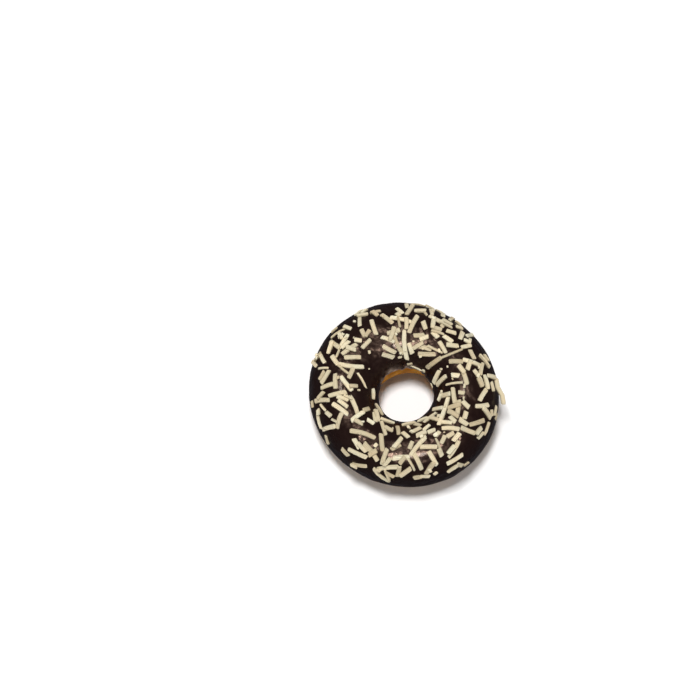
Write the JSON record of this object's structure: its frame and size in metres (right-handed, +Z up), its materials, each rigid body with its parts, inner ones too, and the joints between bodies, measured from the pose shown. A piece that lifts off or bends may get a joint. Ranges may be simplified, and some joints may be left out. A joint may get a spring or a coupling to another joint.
{
  "type": "iced ring doughnut",
  "caption": "Ring doughnut lying flat, its top dipped in dark chocolate icing and scattered with flat white chocolate batons.",
  "frame": {"origin": "middle of the bounding box, on the surface that the doughnut rests on", "axes": "+Z up through the hole, out of the iced side; -Y is towards the viewer of the picture, at the foot of its picture"},
  "size_m": [0.0927, 0.0898, 0.0311],
  "materials": {
    "fried_dough": "golden brown fried crust with a paler band round the middle",
    "dark_icing": "set dark chocolate icing, softly glossy",
    "white_batons": "white chocolate, finely grooved and dull"
  },
  "bodies": {
    "root": {"dough": "fried_dough", "icing": "dark_icing"}
  },
  "joints": []
}
